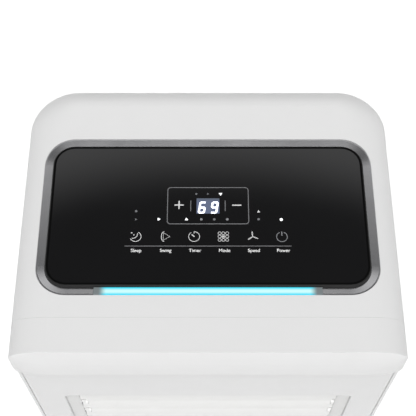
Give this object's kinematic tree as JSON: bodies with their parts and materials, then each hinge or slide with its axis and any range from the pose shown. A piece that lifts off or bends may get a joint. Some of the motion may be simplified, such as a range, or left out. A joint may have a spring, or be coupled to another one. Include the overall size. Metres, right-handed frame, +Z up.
{
  "type": "portable air conditioner",
  "caption": "Floor-standing portable air conditioner on casters, with a louvred front outlet, a touch panel on top and a round exhaust port behind.",
  "frame": {"origin": "on the floor under the middle of the cabinet", "axes": "+Z up, -Y towards the front with the air outlet, +X to the right as seen from the front"},
  "size_m": [0.35, 0.288, 0.7015],
  "materials": {
    "cabinet_white": "satin moulded ABS",
    "louver_white": "satin moulded ABS",
    "bezel_silver": "satin anodised ring",
    "touch_glass": "black printed glass, gloss",
    "light_guide": "lit light guide",
    "circuit_board": "solder mask",
    "display_black": "matt",
    "inner_white": "plain moulded",
    "foam_grey": "moulded foam",
    "blower_black": "moulded polypropylene",
    "motor_steel": "zinc plated",
    "compressor_black": "gloss enamel",
    "fin_aluminium": "bare fins",
    "pipe_copper": "bare copper",
    "bush_rubber": "matt",
    "float_white": "foamed",
    "filter_mesh": "woven nylon",
    "screw_steel": "zinc plated",
    "caster_black": "moulded nylon",
    "caster_tread": "moulded nylon"
  },
  "bodies": {
    "cabinet": {"top_cover": "cabinet_white", "front_panel": "cabinet_white", "left_side_panel": "cabinet_white", "right_side_panel": "cabinet_white", "rear_panel": "cabinet_white", "rear_screws": "screw_steel", "grip_cups": "cabinet_white", "control_glass": "touch_glass", "bezel_ring": "bezel_silver", "light_bar": "light_guide", "control_board": "circuit_board", "display_module": "display_black", "louver_frame": "inner_white", "louver_motor": "motor_steel", "upper_blower_housing": "inner_white", "upper_fan_motor": "motor_steel", "lower_blower_housing": "inner_white", "lower_fan_motor": "motor_steel", "discharge_duct": "foam_grey", "exhaust_duct": "inner_white", "evaporator_coil": "fin_aluminium", "condenser_coil": "fin_aluminium", "compressor": "compressor_black", "compressor_feet": "bush_rubber", "refrigerant_pipes": "pipe_copper", "drip_tray": "inner_white", "splash_motor": "motor_steel", "electrical_box": "inner_white", "exhaust_collar": "cabinet_white", "cord_gland": "bush_rubber", "base_pan": "caster_tread"},
    "louver_blade_1": {"louver_blade_1": "louver_white"},
    "louver_blade_2": {"louver_blade_2": "louver_white"},
    "louver_blade_3": {"louver_blade_3": "louver_white"},
    "louver_blade_4": {"louver_blade_4": "louver_white"},
    "louver_blade_5": {"louver_blade_5": "louver_white"},
    "louver_link": {"louver_link": "louver_white"},
    "air_vane_1": {"air_vane_1": "inner_white"},
    "air_vane_2": {"air_vane_2": "inner_white"},
    "air_vane_3": {"air_vane_3": "inner_white"},
    "air_vane_4": {"air_vane_4": "inner_white"},
    "air_vane_5": {"air_vane_5": "inner_white"},
    "vane_link": {"vane_link": "inner_white"},
    "upper_blower_wheel": {"upper_blower_wheel": "blower_black"},
    "lower_blower_wheel": {"lower_blower_wheel": "blower_black"},
    "splash_wheel": {"splash_wheel": "blower_black"},
    "tank_float": {"tank_float": "float_white"},
    "upper_filter": {"upper_filter_grille": "cabinet_white", "upper_filter_mesh": "filter_mesh"},
    "lower_filter": {"lower_filter_grille": "cabinet_white"},
    "upper_drain_plug": {"upper_drain_plug": "bush_rubber"},
    "lower_drain_plug": {"lower_drain_plug": "bush_rubber"},
    "caster_front_left": {"caster_front_left": "caster_black"},
    "caster_wheels_front_left": {"caster_wheels_front_left": "caster_tread"},
    "caster_front_right": {"caster_front_right": "caster_black"},
    "caster_wheels_front_right": {"caster_wheels_front_right": "caster_tread"},
    "caster_rear_left": {"caster_rear_left": "caster_black"},
    "caster_wheels_rear_left": {"caster_wheels_rear_left": "caster_tread"},
    "caster_rear_right": {"caster_rear_right": "caster_black"},
    "caster_wheels_rear_right": {"caster_wheels_rear_right": "caster_tread"}
  },
  "joints": [
    {"name": "louver_swing", "type": "hinge", "parent": "cabinet", "child": "louver_blade_3", "pos_m": [0, -0.1275, 0.5045], "axis": [-1, 0, 0], "range_deg": [0, 78]},
    {"name": "louver_swing_1", "type": "hinge", "parent": "cabinet", "child": "louver_blade_1", "pos_m": [0, -0.1275, 0.5625], "axis": [-1, 0, 0], "range_deg": [0, 78]},
    {"name": "louver_swing_2", "type": "hinge", "parent": "cabinet", "child": "louver_blade_2", "pos_m": [0, -0.1275, 0.5335], "axis": [-1, 0, 0], "range_deg": [0, 78]},
    {"name": "louver_swing_4", "type": "hinge", "parent": "cabinet", "child": "louver_blade_4", "pos_m": [0, -0.1275, 0.4755], "axis": [-1, 0, 0], "range_deg": [0, 78]},
    {"name": "louver_swing_5", "type": "hinge", "parent": "cabinet", "child": "louver_blade_5", "pos_m": [0, -0.1275, 0.4465], "axis": [-1, 0, 0], "range_deg": [0, 78]},
    {"name": "louver_link_turn", "type": "hinge", "parent": "louver_blade_3", "child": "louver_link", "pos_m": [0, -0.11831, 0.51221], "axis": [-1, 0, 0], "range_deg": [-78, 0]},
    {"name": "vane_turn", "type": "hinge", "parent": "cabinet", "child": "air_vane_3", "pos_m": [0, -0.0935, 0.5045], "axis": [0, 0, 1], "range_deg": [-35, 35]},
    {"name": "vane_turn_1", "type": "hinge", "parent": "cabinet", "child": "air_vane_1", "pos_m": [-0.096, -0.0935, 0.5045], "axis": [0, 0, 1], "range_deg": [-35, 35]},
    {"name": "vane_turn_2", "type": "hinge", "parent": "cabinet", "child": "air_vane_2", "pos_m": [-0.048, -0.0935, 0.5045], "axis": [0, 0, 1], "range_deg": [-35, 35]},
    {"name": "vane_turn_4", "type": "hinge", "parent": "cabinet", "child": "air_vane_4", "pos_m": [0.048, -0.0935, 0.5045], "axis": [0, 0, 1], "range_deg": [-35, 35]},
    {"name": "vane_turn_5", "type": "hinge", "parent": "cabinet", "child": "air_vane_5", "pos_m": [0.096, -0.0935, 0.5045], "axis": [0, 0, 1], "range_deg": [-35, 35]},
    {"name": "vane_link_turn", "type": "hinge", "parent": "air_vane_3", "child": "vane_link", "pos_m": [0, -0.0845, 0.4323], "axis": [0, 0, 1], "range_deg": [-35, 35]},
    {"name": "upper_blower_spin", "type": "hinge", "parent": "cabinet", "child": "upper_blower_wheel", "pos_m": [-0.016, 0.048, 0.505], "axis": [0, 1, 0], "continuous": true},
    {"name": "lower_blower_spin", "type": "hinge", "parent": "cabinet", "child": "lower_blower_wheel", "pos_m": [0.02, 0.048, 0.162], "axis": [0, 1, 0], "continuous": true},
    {"name": "splash_spin", "type": "hinge", "parent": "cabinet", "child": "splash_wheel", "pos_m": [-0.1, 0.066, 0.073], "axis": [0, 1, 0], "continuous": true},
    {"name": "float_rise", "type": "slide", "parent": "cabinet", "child": "tank_float", "axis": [0, 0, 1], "range_m": [0, 0.022]},
    {"name": "upper_filter_pull", "type": "slide", "parent": "cabinet", "child": "upper_filter", "axis": [0, 1, 0], "range_m": [0, 0.05]},
    {"name": "lower_filter_pull", "type": "slide", "parent": "cabinet", "child": "lower_filter", "axis": [0, 1, 0], "range_m": [0, 0.05]},
    {"name": "upper_drain_pull", "type": "slide", "parent": "cabinet", "child": "upper_drain_plug", "axis": [0, 1, 0], "range_m": [0, 0.03]},
    {"name": "lower_drain_pull", "type": "slide", "parent": "cabinet", "child": "lower_drain_plug", "axis": [0, 1, 0], "range_m": [0, 0.03]},
    {"name": "swivel_front_left", "type": "hinge", "parent": "cabinet", "child": "caster_front_left", "pos_m": [-0.132, -0.094, 0.0425], "axis": [0, 0, 1], "continuous": true},
    {"name": "roll_front_left", "type": "hinge", "parent": "caster_front_left", "child": "caster_wheels_front_left", "pos_m": [-0.132, -0.081, 0.02], "axis": [1, 0, 0], "continuous": true},
    {"name": "swivel_front_right", "type": "hinge", "parent": "cabinet", "child": "caster_front_right", "pos_m": [0.132, -0.094, 0.0425], "axis": [0, 0, 1], "continuous": true},
    {"name": "roll_front_right", "type": "hinge", "parent": "caster_front_right", "child": "caster_wheels_front_right", "pos_m": [0.132, -0.081, 0.02], "axis": [1, 0, 0], "continuous": true},
    {"name": "swivel_rear_left", "type": "hinge", "parent": "cabinet", "child": "caster_rear_left", "pos_m": [-0.132, 0.096, 0.0425], "axis": [0, 0, 1], "continuous": true},
    {"name": "roll_rear_left", "type": "hinge", "parent": "caster_rear_left", "child": "caster_wheels_rear_left", "pos_m": [-0.132, 0.109, 0.02], "axis": [1, 0, 0], "continuous": true},
    {"name": "swivel_rear_right", "type": "hinge", "parent": "cabinet", "child": "caster_rear_right", "pos_m": [0.132, 0.096, 0.0425], "axis": [0, 0, 1], "continuous": true},
    {"name": "roll_rear_right", "type": "hinge", "parent": "caster_rear_right", "child": "caster_wheels_rear_right", "pos_m": [0.132, 0.109, 0.02], "axis": [1, 0, 0], "continuous": true}
  ],
  "couplings": [
    {"joint": "louver_swing_1", "follows": "louver_swing", "ratio": 1},
    {"joint": "louver_swing_2", "follows": "louver_swing", "ratio": 1},
    {"joint": "louver_swing_4", "follows": "louver_swing", "ratio": 1},
    {"joint": "louver_swing_5", "follows": "louver_swing", "ratio": 1},
    {"joint": "louver_link_turn", "follows": "louver_swing", "ratio": -1},
    {"joint": "vane_turn_1", "follows": "vane_turn", "ratio": 1},
    {"joint": "vane_turn_2", "follows": "vane_turn", "ratio": 1},
    {"joint": "vane_turn_4", "follows": "vane_turn", "ratio": 1},
    {"joint": "vane_turn_5", "follows": "vane_turn", "ratio": 1},
    {"joint": "vane_link_turn", "follows": "vane_turn", "ratio": -1}
  ]
}
